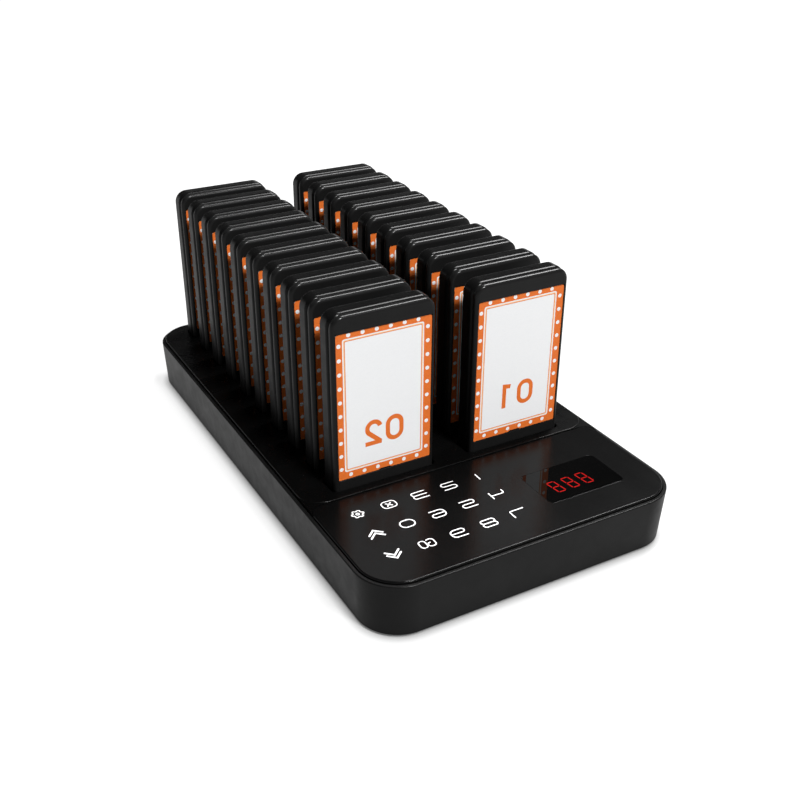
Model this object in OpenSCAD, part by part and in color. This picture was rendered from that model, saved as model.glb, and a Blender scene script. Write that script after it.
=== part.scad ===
// Guest pager system: a charging base with a flat touch keypad and a
// number display, and twenty hand-held pagers that stand in its slots.
// Millimetres. Z is up, the keypad side faces -Y, and the origin is the
// middle of the base's footprint at the level that the feet stand on.

/* [Pagers] */
// Rows of pagers, from the keypad to the back
rows = 10; // [4:1:12]
// Width of a pager's rear shell
pager_w = 52.8; // [50:0.2:58]
// Height of a pager
pager_h = 105; // [102:0.5:112]
// Thickness of a pager, face to back
pager_t = 11; // [10.8:0.2:13]
// Corner radius of the rear shell, seen from the front
pager_r = 6.3; // [5:0.1:8]
// How much smaller the front bezel is than the rear shell, each side
bezel_inset = 0.4; // [0.2:0.1:0.8]
// Thickness of the front bezel
bezel_t = 2.65; // [2.6:0.05:3]
// Width of the open seam between bezel and shell
seam_gap = 0.35; // [0.2:0.05:0.5]
// Depth of the seam, which is how far the shell's lip stands in
seam_depth = 1; // [0.8:0.1:1.2]
// Wall thickness of the rear shell
shell_wall = 2; // [1.8:0.1:2.4]
// Thickness of the rear shell's back
shell_back = 1.8; // [1.8:0.1:2.2]

/* [Number cards] */
// Width of the number card on a pager's face
card_w = 48; // [44:0.5:48]
// Height of the number card
card_h = 73.3; // [64:0.1:73.5]
// Height of the card's lower edge above the pager's underside
card_lift = 23.2; // [20:0.1:24]
// Thickness of the card
card_t = 0.35; // [0.25:0.05:0.4]
// How far the card's face lies behind the bezel's face
card_recess = 0.4; // [0.2:0.05:0.45]

/* [Slots] */
// Depth of a charging slot below the deck
slot_depth = 18.5; // [14:0.5:19]
// Gap between a pager and each side of its slot
slot_side_gap = 1; // [0.5:0.1:1.5]
// Gap between a pager's face and the front of its slot
slot_front_gap = 0.5; // [0.4:0.1:1]
// Gap between a pager's back and the rear of its slot
slot_rear_gap = 1.1; // [0.5:0.1:1.5]
// Corner radius of a slot
slot_r = 2.6; // [2:0.1:4]
// Deck left between one slot and the next row's slot
row_gap = 8.6; // [7.6:0.1:14]
// Deck left between the two columns of slots
column_gap = 18; // [16:0.5:30]
// Wall and floor thickness of a slot well
well_wall = 1.4; // [1:0.1:1.6]

/* [Base case] */
// Width from a slot to the outside of the case
side_margin = 17.45; // [17:0.05:26]
// Depth from the last slot to the back of the case
rear_margin = 9.9; // [9:0.1:16]
// Depth from the front of the case to the raised deck
keypad_zone_d = 69.7; // [68:0.1:80]
// Depth from the raised deck's front edge to the first slot
slot_margin = 4.9; // [4:0.1:10]
// Height of the case wall, from its lower edge to the rim
case_wall_h = 26.3; // [25:0.1:30]
// How far the wall leans in from the rim to its lower edge
case_draft = 1.5; // [0.5:0.1:2]
// Corner radius of the rim
case_r = 20.9; // [16:0.1:22]
// Thickness of the case wall
wall_t = 1.8; // [1.6:0.1:1.9]
// Thickness of the case floor
floor_t = 2.2; // [2:0.1:2.6]

/* [Deck and keypad] */
// Width of the rim that shows round the deck
rim_ledge = 2.1; // [2.05:0.05:2.6]
// Height of the deck's top above the rim
deck_rise = 1.6; // [1.2:0.1:2.4]
// Step from the deck's top down to the keypad panel
deck_step = 0.5; // [0.3:0.1:0.8]
// Corner radius at the front of the raised deck
deck_front_r = 12; // [8:0.5:16]
// Thickness of the keypad panel
panel_t = 2; // [1.6:0.1:2.4]
// Corner radius at the rear of the keypad panel
panel_rear_r = 6; // [3:0.5:8]
// Thickness of the seat that carries the panel
seat_t = 1.5; // [1.2:0.1:2]
// Touch keys across
key_cols = 5; // [3:1:5]
// Touch keys from front to back
key_rows = 3; // [2:1:3]
// Distance between touch keys across
key_pitch_x = 15.85; // [12:0.05:15.9]
// Distance between touch keys from front to back
key_pitch_y = 16.9; // [12:0.1:17]
// Distance of the first key column from the case's side
key_side_margin = 19.85; // [19:0.05:21]
// Distance of the rear key row from the raised deck
key_rear_margin = 14.6; // [14:0.1:16]

/* [Display] */
// Width of the display window
window_w = 42.6; // [36:0.1:44]
// Depth of the display window
window_d = 25.8; // [20:0.1:27]
// Corner radius of the display window
window_r = 3; // [1.5:0.1:4]
// Distance of the window from the case's side
window_side_margin = 19.7; // [19:0.05:22]
// Distance of the window from the raised deck
window_rear_margin = 24.2; // [22:0.1:27]

/* [Feet and power inlet] */
// Diameter of a rubber foot
foot_d = 14; // [10:0.5:14]
// How far a foot stands out below the case
foot_proud = 1; // [0.6:0.1:2]
// How deep a foot sits in the case floor
foot_seat = 1; // [0.5:0.1:1.2]
// Bore of the power inlet, for a 5.5 mm plug
inlet_bore_d = 5.7; // [5.6:0.1:6.6]
// Depth of the power inlet's bore
inlet_bore_l = 9.5; // [8:0.5:11]
// Diameter of the inlet's centre pin
inlet_pin_d = 2; // [1.6:0.1:2.5]

/* [Hidden] */
$fn = 48;
eps = 0.01;
// Gap between flat pieces that lie beside each other
fit_gap = 0.1;
// Gap between a pager and its seat, and between a pin and its contact
seat_gap = 0.3;
// Radial play round a screw's shank
shank_gap = 0.05;

pager_count = 2 * rows;
slot_w = pager_w + 2 * slot_side_gap;
slot_d = pager_t + slot_front_gap + slot_rear_gap;
row_pitch = slot_d + row_gap;
column_pitch = slot_w + column_gap;
case_w = column_pitch + slot_w + 2 * side_margin;
case_d = keypad_zone_d + slot_margin + (rows - 1) * row_pitch + slot_d + rear_margin;
front_y = -case_d / 2;
rear_y = case_d / 2;
deck_front_y = front_y + keypad_zone_d;
first_slot_y = deck_front_y + slot_margin;

// Heights in the base
case_z = foot_proud;
floor_z = case_z + floor_t;
rim_z = case_z + case_wall_h;
deck_z = rim_z + deck_rise;
panel_top_z = deck_z - deck_step;
panel_z = panel_top_z - panel_t;
seat_z = panel_z - seat_t;
slot_floor_z = deck_z - slot_depth;
well_z = slot_floor_z - well_wall;
pager_z = slot_floor_z + seat_gap;
deck_w = case_w - 2 * rim_ledge;
deck_r = case_r - rim_ledge;

// Pager depths, measured back from the bezel's face
lip_t = 1;
lip_inset = bezel_inset + seam_depth;
lip_fit = 0.05;
lip_y = card_recess + card_t + 1;
shell_y = bezel_t + seam_gap;
back_y = pager_t - shell_back;
board_y = 3.4;
board_t = 1;
board_margin = 7;
lamp_rows = 4;
lamp_pitch = 20;
post_d = 5;
post_y = 3.2;
post_x = pager_w / 2 - 5.9;
post_low_z = 6.5;
post_high_z = pager_h - 6.3;
screw_head_y = pager_t - 2.6;
pager_screw_d = 2;
pager_screw_l = 7;
pager_head_d = 3.9;
pager_head_h = 1.5;
rib_x = 15.5;
rib_t = 1.5;
contact_x = 9;
contact_y = 6.4;
contact_w = 8.6;
contact_d = 3.6;
contact_t = 0.5;
window_slack = 0.6;

// Charging boards and their spring pins
charge_board_t = 1.2;
stake_shoulder = 1.4;
charge_board_z = well_z - stake_shoulder - charge_board_t;
stake_d = 2.4;
stake_rows = [0, 3, 6, 9];
pin_d = 2.2;
plunger_d = 1.4;
pin_slack = 0.4;
stake_x = contact_x + pin_d / 2 + pin_slack + stake_d + seat_gap;
charge_board_w = 2 * (stake_x + stake_d / 2 + 1.6);

// Screws that hold the deck and the control board
screw_d = 3;
screw_l = 8;
screw_head_d = 5.8;
screw_head_h = 2.2;
boss_d = 7;
case_boss_d = 9;
case_boss_z = 16;
case_web = 2.4;
boss_inset = 9;
deck_screw_ys = [
    front_y + 15,
    first_slot_y + row_pitch,
    first_slot_y + (rows / 2 + 1) * row_pitch,
    rear_y - 15.5
];

// Control board under the keypad
control_board_z = seat_z - 6.3;
control_board_t = 1.6;
key_x0 = -case_w / 2 + key_side_margin;
key_y1 = deck_front_y - key_rear_margin;
key_y0 = key_y1 - (key_rows - 1) * key_pitch_y;
key_x1 = key_x0 + (key_cols - 1) * key_pitch_x;
window_x = case_w / 2 - window_side_margin - window_w / 2;
window_y = deck_front_y - window_rear_margin - window_d / 2;
spring_d = 7;
spring_wall = 0.8;
key_hole_margin = 4;
control_x0 = key_x0 - 6.5;
control_x1 = window_x + window_w / 2 + 5;
control_y0 = key_y0 - 11.6;
control_y1 = key_y1 + 11.6;
control_boss_inset = 3.6;
led_w = 31;
led_d = 18;
control_screw_l = panel_z - control_board_z - 0.6;

// Power inlet in the rear wall
inlet_z = 14.6;
inlet_w = 11;
inlet_h = 10.4;
inlet_l = 13;
inlet_nose_d = 8.4;
foot_inset_x = 22;
foot_inset_y = 20;
foot_x = case_w / 2 - foot_inset_x;
foot_y = case_d / 2 - foot_inset_y;

BASE_NODES = [
    "lower_case", "top_deck", "keypad_panel", "display_window", "led_display",
    "control_board", "touch_springs", "charge_board_left", "charge_board_right",
    "slot_contacts", "antenna", "dc_inlet", "feet", "case_screws"
];
FIRST_PAGER_NODES = [
    "pager_01_rear_shell", "pager_01_bezel", "pager_01_card", "pager_01_board",
    "pager_01_battery", "pager_01_vibration_motor", "pager_01_contacts", "pager_01_screws"
];
function pager_name(i) = str("pager_", i < 10 ? "0" : "", i);

// Odd pagers stand in the right column and even ones in the left
function pager_x(i) = (i % 2 == 1 ? 1 : -1) * column_pitch / 2;
function slot_y(row) = first_slot_y + row * row_pitch;
function pager_row(i) = floor((i - 1) / 2);

module at_slot(i) {
    translate([pager_x(i), slot_y(pager_row(i)) + slot_front_gap, pager_z]) children();
}

// ---- outlines ----

// Rectangle with rounded corners, centred
module rounded_2d(w, h, r) {
    square([w - 2 * r, h], center = true);
    square([w, h - 2 * r], center = true);
    for (x = [-1, 1], y = [-1, 1])
        translate([x * (w / 2 - r), y * (h / 2 - r)]) circle(r);
}

// Rectangle from y0 to y1 with one radius in front and another behind
module plate_2d(w, y0, y1, front_r, back_r) {
    side = w / 2;
    middle = (y0 + y1) / 2;
    for (s = [-1, 1]) {
        translate([s * (side - front_r), y0 + front_r]) circle(front_r);
        translate([s * (side - back_r), y1 - back_r]) circle(back_r);
    }
    translate([-side + front_r, y0]) square([w - 2 * front_r, middle - y0]);
    translate([-side + back_r, middle]) square([w - 2 * back_r, y1 - middle]);
    translate([-side, y0 + front_r]) square([w, y1 - y0 - front_r - back_r]);
}

// An outline drawn across and up, made solid from depth y0 back to y1
module slab(y0, y1) {
    translate([0, y1, 0]) rotate([90, 0, 0]) linear_extrude(y1 - y0) children();
}

// A cylinder along Y from y0 to y1
module rod(d, y0, y1) {
    translate([0, y0, 0]) rotate([-90, 0, 0]) cylinder(d = d, h = y1 - y0);
}

// ---- base case ----

function draft_at(z) = case_draft * (rim_z - z) / case_wall_h;

corner_steps = 16;

// Points round the case at height z, set in from the outside
function case_loop(z, inset) =
    let (lean = draft_at(z))
    let (r = case_r - inset - lean)
    let (x = case_w / 2 - inset - lean - r)
    let (y0 = front_y + inset + lean + r)
    let (y1 = rear_y - inset - r)
    let (centres = [[x, y1], [-x, y1], [-x, y0], [x, y0]])
    [
        for (c = [0:3], k = [0:corner_steps])
            let (a = 90 * (c + k / corner_steps))
            [centres[c][0] + r * cos(a), centres[c][1] + r * sin(a), z]
    ];

// Solid between two levels that leans like the case wall
module case_block(z0, z1, inset) {
    low = case_loop(z0, inset);
    high = case_loop(z1, inset);
    n = len(low);
    sides = [for (i = [0:n - 1]) [i, i + n, (i + 1) % n + n, (i + 1) % n]];
    bottom = [for (i = [0:n - 1]) i];
    top = [for (i = [n - 1:-1:0]) n + i];
    polyhedron(concat(low, high), concat(sides, [bottom, top]));
}

module each_case_screw() {
    for (s = [-1, 1], y = deck_screw_ys)
        translate([s * (case_w / 2 - boss_inset), y, 0]) children();
}

module each_foot() {
    for (x = [-1, 1], y = [-1, 1])
        translate([x * foot_x, y * foot_y, 0]) children();
}

module lower_case() {
    color("#2b2b2d") difference() {
        union() {
            difference() {
                case_block(case_z, rim_z, 0);
                case_block(floor_z, rim_z + 1, wall_t);
            }
            each_case_screw()
                translate([0, 0, case_z + eps]) cylinder(d = case_boss_d, h = case_boss_z - case_z - eps);
            inlet_pedestal();
        }
        each_case_screw() {
            cylinder(d = screw_head_d + 0.6, h = case_boss_z - case_web);
            cylinder(d = screw_d + 0.4, h = case_boss_z + 1);
        }
        each_foot() cylinder(d = foot_d + 2 * fit_gap, h = case_z + foot_seat);
        translate([0, 0, inlet_z]) rod(inlet_nose_d + 2 * fit_gap, rear_y - wall_t - 1, rear_y + 1);
    }
}

// Block on the case floor that carries the power inlet
module inlet_pedestal() {
    h = inlet_z - inlet_h / 2 - case_z - eps;
    translate([-inlet_w / 2, rear_y - wall_t - inlet_l, case_z + eps]) cube([inlet_w, inlet_l + wall_t / 2, h]);
}

module feet() {
    color("#171717") each_foot() {
        cylinder(d = foot_d, h = foot_proud + foot_seat);
    }
}

module one_screw(length) {
    translate([0, 0, -screw_head_h]) cylinder(d = screw_head_d, h = screw_head_h);
    cylinder(d = screw_d, h = length);
}

module case_screws() {
    color("#9a9a9a") {
        each_case_screw() translate([0, 0, case_boss_z - case_web]) one_screw(screw_l);
        each_control_boss() translate([0, 0, control_board_z]) one_screw(control_screw_l);
    }
}

// ---- deck ----

module deck_2d() {
    plate_2d(deck_w, front_y + rim_ledge, rear_y - rim_ledge, deck_r, deck_r);
}

// Outline of the keypad panel; the pocket for it is grown to the rear
module panel_2d(grow = 0) {
    plate_2d(deck_w, front_y + rim_ledge, deck_front_y - fit_gap + grow, deck_r, panel_rear_r + grow);
}

module raised_2d() {
    plate_2d(deck_w, deck_front_y, rear_y - rim_ledge, deck_front_r, deck_r);
}

module each_slot() {
    for (i = [1:pager_count])
        translate([pager_x(i), slot_y(pager_row(i)) + slot_d / 2, 0]) children();
}

module each_pin() {
    for (i = [1:pager_count], s = [-1, 1])
        translate([pager_x(i) + s * contact_x, slot_y(pager_row(i)) + slot_front_gap + contact_y, 0]) children();
}

module column_stakes(side) {
    for (row = stake_rows, s = [-1, 1])
        if (row < rows)
            translate([side * column_pitch / 2 + s * stake_x, slot_y(row) + slot_d / 2, 0]) children();
}

module each_control_boss() {
    for (x = [control_x0 + control_boss_inset, control_x1 - control_boss_inset],
         y = [control_y0 + control_boss_inset, control_y1 - control_boss_inset])
        translate([x, y, 0]) children();
}

module deck_body() {
    translate([0, 0, seat_z]) linear_extrude(seat_t) deck_2d();
    translate([0, 0, panel_z - eps]) linear_extrude(panel_t + eps) difference() {
        deck_2d();
        panel_2d(fit_gap);
    }
    translate([0, 0, panel_top_z - eps]) linear_extrude(deck_step + eps) raised_2d();
    each_slot() translate([0, 0, well_z])
        linear_extrude(seat_z - well_z + eps) rounded_2d(slot_w + 2 * well_wall, slot_d + 2 * well_wall, slot_r + well_wall);
    each_case_screw() translate([0, 0, case_boss_z]) cylinder(d = boss_d, h = seat_z - case_boss_z + eps);
    control_top = control_board_z + control_board_t;
    each_control_boss() translate([0, 0, control_top]) cylinder(d = boss_d, h = seat_z - control_top + eps);
    for (side = [-1, 1]) column_stakes(side) {
        translate([0, 0, charge_board_z - 1]) cylinder(d = stake_d, h = well_z - charge_board_z + 1 + eps);
        translate([0, 0, well_z - stake_shoulder]) cylinder(d = 2 * stake_d, h = stake_shoulder + eps);
    }
}

module top_deck() {
    pilot_d = screw_d + 2 * shank_gap;
    key_x = (key_x0 + key_x1) / 2;
    key_y = (key_y0 + key_y1) / 2;
    color("#1b1b1c") difference() {
        deck_body();
        each_slot() translate([0, 0, slot_floor_z]) linear_extrude(slot_depth + 1) rounded_2d(slot_w, slot_d, slot_r);
        each_pin() translate([0, 0, well_z + well_wall / 2])
            cube([pin_d + 2 * pin_slack, pin_d + 2 * pin_slack, 2 * well_wall], center = true);
        each_case_screw() translate([0, 0, case_boss_z - 1]) cylinder(d = pilot_d, h = screw_l - case_web + 2);
        each_control_boss()
            translate([0, 0, control_board_z]) cylinder(d = pilot_d, h = control_screw_l + 1);
        translate([key_x, key_y, seat_z - 1]) linear_extrude(seat_t + 2) rounded_2d(
            key_x1 - key_x0 + 2 * key_hole_margin, key_y1 - key_y0 + 2 * key_hole_margin, 2);
        translate([window_x, window_y, seat_z - 1]) linear_extrude(seat_t + 2)
            rounded_2d(led_w + 4 * fit_gap, led_d + 4 * fit_gap, fit_gap);
    }
}

module keypad_panel() {
    color("#242425") translate([0, 0, panel_z]) linear_extrude(panel_t) difference() {
        panel_2d();
        translate([window_x, window_y]) rounded_2d(window_w, window_d, window_r);
    }
}

module display_window() {
    color("#101011") translate([window_x, window_y, panel_z])
        linear_extrude(panel_t - eps) rounded_2d(window_w - 2 * fit_gap, window_d - 2 * fit_gap, window_r - fit_gap);
}

module led_display() {
    z = control_board_z + control_board_t;
    color("#151112") translate([window_x - led_w / 2, window_y - led_d / 2, z])
        cube([led_w, led_d, panel_z - fit_gap - z]);
}

// ---- electronics in the base ----

module control_board() {
    color("#1f6b3a") difference() {
        union() {
            translate([control_x0, control_y0, control_board_z])
                cube([control_x1 - control_x0, control_y1 - control_y0, control_board_t]);
            control_parts();
        }
        each_control_boss() translate([0, 0, control_board_z - 1]) cylinder(d = screw_d + 0.4, h = control_board_t + 2);
    }
}

// Controller, beeper and wire header on the control board's underside
module control_parts() {
    y = (control_y0 + control_y1) / 2;
    chip_w = 10;
    chip_h = 1.4;
    beeper_d = 12;
    header_w = 20;
    header_d = 5.8;
    tall = 6;
    translate([window_x - chip_w / 2, y - chip_w / 2, control_board_z - chip_h]) cube([chip_w, chip_w, chip_h + eps]);
    translate([key_x1, y, control_board_z - tall]) cylinder(d = beeper_d, h = tall + eps);
    translate([key_x0 + key_pitch_x / 2, y + header_d, control_board_z - tall])
        cube([header_w, header_d, tall + eps]);
}

module each_key() {
    for (col = [0:key_cols - 1], row = [0:key_rows - 1])
        translate([key_x0 + col * key_pitch_x, key_y0 + row * key_pitch_y, 0]) children();
}

module touch_springs() {
    z = control_board_z + control_board_t;
    color("#c8c8c8") each_key() translate([0, 0, z]) difference() {
        cylinder(d = spring_d, h = panel_z - fit_gap - z);
        translate([0, 0, 1]) cylinder(d = spring_d - 2 * spring_wall, h = panel_z);
    }
}

module charge_board(side) {
    y0 = slot_y(0) - well_wall;
    y1 = slot_y(rows - 1) + slot_d;
    color("#1f6b3a") difference() {
        union() {
            translate([side * column_pitch / 2 - charge_board_w / 2, y0, charge_board_z])
                cube([charge_board_w, y1 - y0, charge_board_t]);
            translate([side * column_pitch / 2 - 6, y0 + 1, charge_board_z - 1.4]) cube([12, 8, 1.4 + eps]);
        }
        column_stakes(side) translate([0, 0, charge_board_z - 2]) cylinder(d = stake_d + 2 * fit_gap, h = charge_board_t + 4);
    }
}

module slot_contacts() {
    board_top = charge_board_z + charge_board_t;
    pin_top = pager_z + shell_wall - seat_gap;
    color("#d8b25a") each_pin() {
        translate([0, 0, board_top]) cylinder(d = pin_d, h = slot_floor_z - board_top);
        translate([0, 0, board_top]) cylinder(d = plunger_d, h = pin_top - board_top);
    }
}

// Sleeved aerial on a stub below the control board
module antenna() {
    x = key_x0 + 2;
    y = control_y0 + 12;
    sleeve_d = 5;
    sleeve_l = 34;
    z = control_board_z - 5;
    color("#3a3a3a") translate([x, y, z]) {
        rotate([0, 90, 0]) cylinder(d = sleeve_d, h = sleeve_l);
        translate([0.5, -1.5, 0]) cube([3, 3, control_board_z - z]);
    }
}

module dc_inlet() {
    face_y = rear_y - wall_t;
    mouth_y = rear_y - 2 * fit_gap;
    bottom_y = mouth_y - inlet_bore_l;
    color("#1c1c1c") {
        difference() {
            union() {
                translate([-inlet_w / 2, face_y - fit_gap - inlet_l, inlet_z - inlet_h / 2])
                    cube([inlet_w, inlet_l, inlet_h]);
                translate([0, 0, inlet_z]) rod(inlet_nose_d, face_y - 1, mouth_y);
            }
            translate([0, 0, inlet_z]) rod(inlet_bore_d, bottom_y, mouth_y + 1);
        }
        translate([0, 0, inlet_z]) rod(inlet_pin_d, bottom_y - 1, mouth_y - 1);
    }
}

// ---- a pager, with its face at y = 0 and standing on z = 0 ----

module face_2d(inset) {
    translate([0, pager_h / 2]) rounded_2d(pager_w - 2 * inset, pager_h - 2 * inset, pager_r - inset);
}

module card_2d(grow = 0) {
    translate([0, card_lift + card_h / 2]) square([card_w + 2 * grow, card_h + 2 * grow], center = true);
}

module each_post() {
    for (x = [-1, 1], z = [post_low_z, post_high_z])
        translate([x * post_x, 0, z]) children();
}

module pager_bezel() {
    floor_y = lip_y - lip_fit;
    difference() {
        union() {
            difference() {
                slab(0, bezel_t) face_2d(bezel_inset);
                slab(floor_y, bezel_t + 1) face_2d(lip_inset - lip_fit);
            }
            each_post() rod(post_d - 0.4, floor_y - eps, post_y - lip_fit);
        }
        slab(-1, card_recess + card_t) card_2d(fit_gap);
        each_post() rod(pager_screw_d + 2 * shank_gap, screw_head_y - pager_screw_l - 0.2, post_y + 1);
    }
}

module pager_shell() {
    difference() {
        union() {
            difference() {
                slab(shell_y, pager_t) face_2d(0);
                slab(shell_y - 1, back_y) face_2d(shell_wall);
            }
            difference() {
                slab(lip_y, shell_y + 1.5) face_2d(lip_inset);
                slab(lip_y - 1, shell_y + 2) face_2d(lip_inset + lip_t);
            }
            each_post() rod(post_d, post_y, back_y + eps);
            for (s = [-1, 1]) translate([s * rib_x - rib_t / 2, board_y + board_t, 12])
                cube([rib_t, back_y - board_y - board_t + eps, pager_h - 26]);
        }
        each_post() {
            rod(pager_screw_d + 4 * shank_gap, post_y - 1, pager_t + 1);
            rod(pager_head_d + 4 * shank_gap, screw_head_y, pager_t + 1);
        }
        for (s = [-1, 1]) translate([s * contact_x, contact_y, shell_wall / 2])
            cube([contact_w - 2 * window_slack, contact_d - 2 * window_slack + 0.6, 2 * shell_wall], center = true);
    }
}

module pager_card() {
    slab(card_recess, card_recess + card_t - eps) card_2d();
}

module pager_board() {
    half_w = rib_x + rib_t;
    low_z = board_margin;
    high_z = pager_h - board_margin;
    lamp_w = 3.2;
    lamp_h = 2.8;
    lamp_t = 0.8;
    chip_w = 7;
    beeper_d = 9;
    slab(board_y, board_y + board_t) translate([-half_w, low_z]) square([2 * half_w, high_z - low_z]);
    for (x = [-1, 1], k = [0:lamp_rows - 1])
        translate([x * (half_w - lamp_w - 0.8) - lamp_w / 2, board_y - lamp_t, high_z - lamp_h - 7 - k * lamp_pitch])
            cube([lamp_w, lamp_t + eps, lamp_h]);
    translate([-chip_w - 4, board_y + board_t - eps, low_z + 10]) cube([chip_w, 1.2, chip_w]);
    translate([chip_w, 0, low_z + 14]) rod(beeper_d, board_y + board_t - eps, board_y + board_t + 3.6);
}

module pager_battery() {
    w = 27;
    h = 40;
    translate([-w / 2, board_y + board_t + 0.3, 31]) cube([w, back_y - board_y - board_t - 0.4, h]);
}

module pager_motor() {
    translate([0, 0, 83]) rod(10, back_y - fit_gap - 2.7, back_y - fit_gap);
}

module pager_contacts() {
    tab_y = board_y + board_t + lip_fit;
    for (s = [-1, 1]) translate([s * contact_x, 0, 0]) {
        translate([-contact_w / 2, contact_y - contact_d / 2, shell_wall]) cube([contact_w, contact_d, contact_t]);
        translate([-2, tab_y, shell_wall + contact_t - eps]) cube([4, contact_t, 7]);
    }
}

module pager_screws() {
    each_post() {
        rod(pager_screw_d, screw_head_y - pager_screw_l, screw_head_y + eps);
        rod(pager_head_d, screw_head_y, screw_head_y + pager_head_h);
    }
}

module pager_case() {
    color("#1f1f20") {
        pager_bezel();
        pager_shell();
    }
}

lower_case();
top_deck();
keypad_panel();
display_window();
led_display();
control_board();
touch_springs();
charge_board(-1);  // charge_board_left
charge_board(1);  // charge_board_right
slot_contacts();
antenna();
dc_inlet();
feet();
case_screws();
at_slot(1) color("#1f1f20") pager_shell();  // pager_01_rear_shell
at_slot(1) color("#242426") pager_bezel();  // pager_01_bezel
at_slot(1) color("#e8762e") pager_card();  // pager_01_card
at_slot(1) color("#1f6b3a") pager_board();  // pager_01_board
at_slot(1) color("#b8bcc2") pager_battery();  // pager_01_battery
at_slot(1) color("#a8a8ac") pager_motor();  // pager_01_vibration_motor
at_slot(1) color("#d8b25a") pager_contacts();  // pager_01_contacts
at_slot(1) color("#8c8c90") pager_screws();  // pager_01_screws
for (i = [2:pager_count]) {
    at_slot(i) pager_case();
    at_slot(i) color("#e8762e") pager_card();
}
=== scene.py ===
import math

import bmesh
import bpy
from mathutils import Matrix, Vector
from mathutils.geometry import delaunay_2d_cdt


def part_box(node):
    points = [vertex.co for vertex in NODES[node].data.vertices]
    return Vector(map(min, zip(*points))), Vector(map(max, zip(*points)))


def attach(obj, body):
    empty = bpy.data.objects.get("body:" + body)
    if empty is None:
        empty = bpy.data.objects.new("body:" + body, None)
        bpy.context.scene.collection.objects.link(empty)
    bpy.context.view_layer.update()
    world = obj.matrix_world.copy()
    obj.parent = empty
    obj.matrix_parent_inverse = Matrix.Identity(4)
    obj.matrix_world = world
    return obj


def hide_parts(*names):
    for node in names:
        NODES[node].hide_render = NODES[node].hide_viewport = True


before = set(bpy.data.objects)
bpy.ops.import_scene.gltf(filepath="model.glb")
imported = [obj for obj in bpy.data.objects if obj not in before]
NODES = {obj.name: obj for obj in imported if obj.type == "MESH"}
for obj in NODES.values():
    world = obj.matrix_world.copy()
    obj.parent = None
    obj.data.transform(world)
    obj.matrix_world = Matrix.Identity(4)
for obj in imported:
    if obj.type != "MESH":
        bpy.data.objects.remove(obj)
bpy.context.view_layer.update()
MM = 0.001


# ---------------------------------------------------------------- materials

class Shade:
    """A Principled material whose colour, roughness and bump come from nodes."""

    def __init__(self, name):
        self.material = bpy.data.materials.new(name)
        self.material.use_nodes = True
        self.tree = self.material.node_tree
        self.tree.nodes.clear()
        self.output = self.add("ShaderNodeOutputMaterial")
        self.bsdf = self.add("ShaderNodeBsdfPrincipled")
        self.link(self.bsdf.outputs[0], self.output.inputs["Surface"])
        coordinates = self.add("ShaderNodeTexCoord")
        self.place = coordinates.outputs["Object"]
        self.facing = coordinates.outputs["Normal"]

    def add(self, kind, **values):
        node = self.tree.nodes.new(kind)
        for key, value in values.items():
            setattr(node, key, value)
        return node

    def link(self, a, b):
        self.tree.links.new(a, b)

    def noise(self, size_mm, detail=2.0, stretch=None, distortion=0.0):
        """Noise whose blotches are about size_mm across."""
        source = self.place
        if stretch:
            mapping = self.add("ShaderNodeMapping")
            mapping.inputs["Scale"].default_value = stretch
            self.link(source, mapping.inputs["Vector"])
            source = mapping.outputs[0]
        node = self.add("ShaderNodeTexNoise")
        node.inputs["Scale"].default_value = 1000.0 / size_mm
        node.inputs["Detail"].default_value = detail
        node.inputs["Distortion"].default_value = distortion
        self.link(source, node.inputs["Vector"])
        return node.outputs["Fac"]

    def ramp(self, factor, low, high, start=0.3, end=0.7):
        """Colour that goes from low to high while the factor goes from start to end."""
        node = self.add("ShaderNodeValToRGB")
        for element, at, colour in zip(node.color_ramp.elements, (start, end), (low, high)):
            element.position = at
            element.color = (*colour, 1.0)
        self.link(factor, node.inputs["Fac"])
        return node.outputs["Color"]

    def spread(self, factor, low, high, start=0.3, end=0.7):
        """Number that goes from low to high while the factor goes from start to end."""
        node = self.add("ShaderNodeMapRange")
        node.inputs["From Min"].default_value = start
        node.inputs["From Max"].default_value = end
        node.inputs["To Min"].default_value = low
        node.inputs["To Max"].default_value = high
        self.link(factor, node.inputs["Value"])
        return node.outputs["Result"]

    def bump(self, height, depth_mm, strength):
        """Bends the light as if height, from 0 to 1, were depth_mm deep."""
        node = self.add("ShaderNodeBump")
        node.inputs["Strength"].default_value = strength
        node.inputs["Distance"].default_value = depth_mm * MM
        self.link(height, node.inputs["Height"])
        self.link(node.outputs["Normal"], self.bsdf.inputs["Normal"])

    def colour(self, factor, low, high, socket="Base Color", **span):
        """Lets the shader's colour wander between two colours."""
        self.link(self.ramp(factor, low, high, **span), self.bsdf.inputs[socket])

    def gloss(self, factor, low, high):
        """Lets the roughness wander between two values."""
        self.link(self.spread(factor, low, high), self.bsdf.inputs["Roughness"])

    def math(self, operation, a, b):
        """One number made from two."""
        node = self.add("ShaderNodeMath", operation=operation)
        self.link(a, node.inputs[0])
        self.link(b, node.inputs[1])
        return node.outputs[0]

    def set(self, **values):
        """Sets constants on the shader's own sockets; an underscore stands for a space."""
        for key, value in values.items():
            self.bsdf.inputs[key.replace("_", " ")].default_value = value


def grey(level):
    """A neutral colour."""
    return (level, level, level)


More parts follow.
